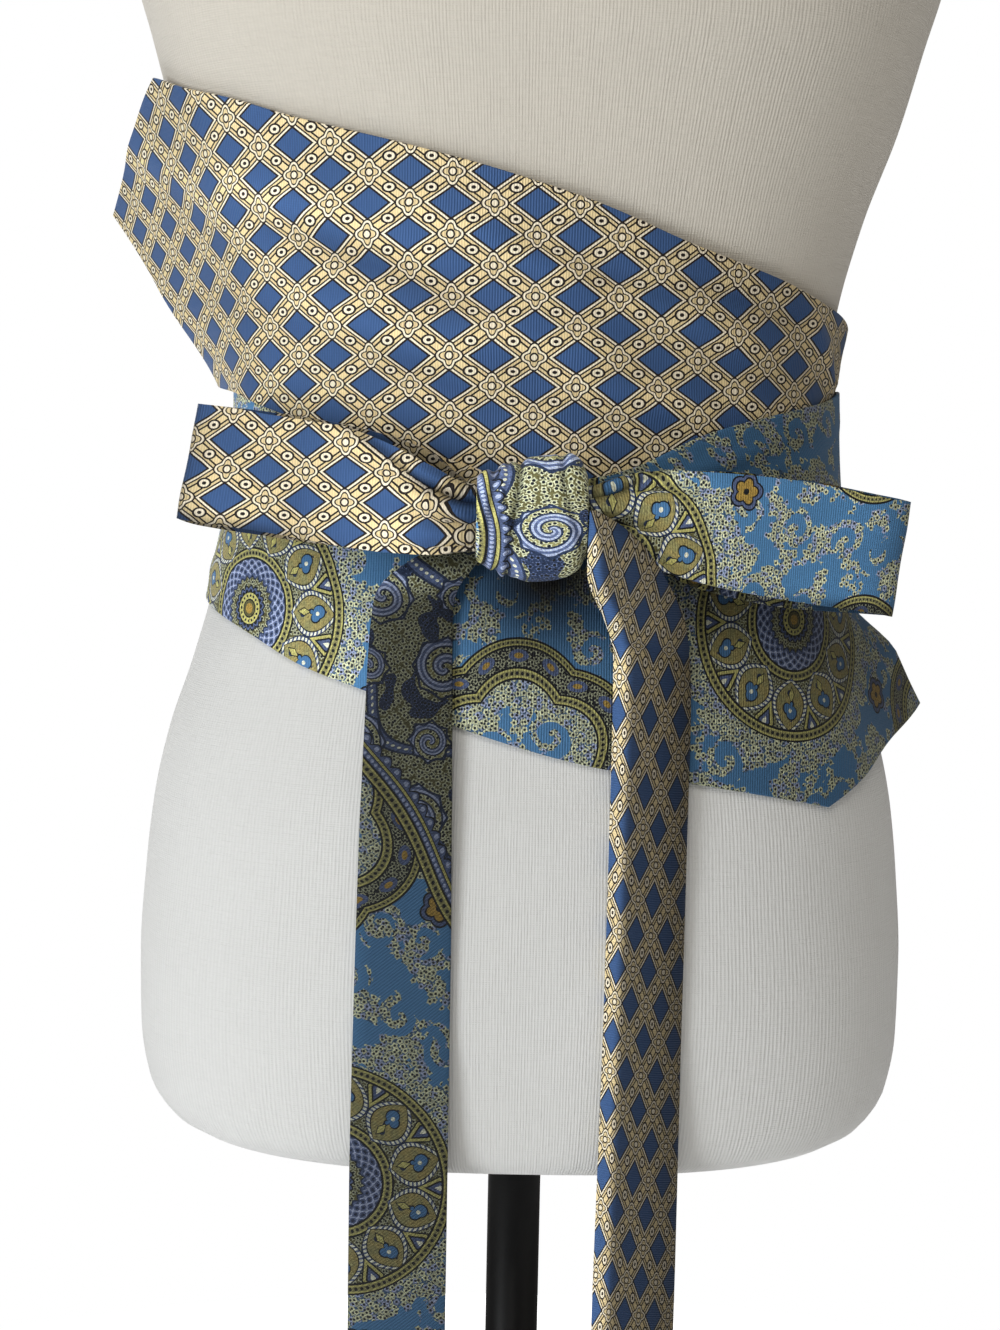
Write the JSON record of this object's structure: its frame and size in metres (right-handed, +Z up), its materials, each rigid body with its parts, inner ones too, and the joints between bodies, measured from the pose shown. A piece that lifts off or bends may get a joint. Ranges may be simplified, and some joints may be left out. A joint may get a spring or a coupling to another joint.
{
  "type": "obi belt on a dress form",
  "caption": "Wide wrap obi belt of two opened neckties, pointed blades across the front and tied in a bow with hanging tails, worn by a limbless dress form on a pole and round base.",
  "frame": {"origin": "centre of the base plate's underside, on the floor", "axes": "+Z up along the pole, -Y the front with the bow, +X the viewer's right when facing the front"},
  "size_m": [0.412, 0.412, 1.526],
  "materials": {
    "linen": "matt plain-weave cover",
    "black_steel": "satin black paint",
    "gold_silk": "ribbed printed silk, soft sheen",
    "paisley_silk": "ribbed printed silk, soft sheen"
  },
  "bodies": {
    "root": {"form_torso": "linen", "form_pole": "black_steel", "form_base": "black_steel", "gold_blade": "gold_silk", "gold_neck": "gold_silk", "gold_sash": "gold_silk", "paisley_blade": "paisley_silk", "paisley_neck": "paisley_silk", "paisley_sash": "paisley_silk", "loop_left": "gold_silk", "loop_right": "paisley_silk", "knot": "paisley_silk", "tail_left": "paisley_silk", "tail_right": "gold_silk"}
  },
  "joints": []
}
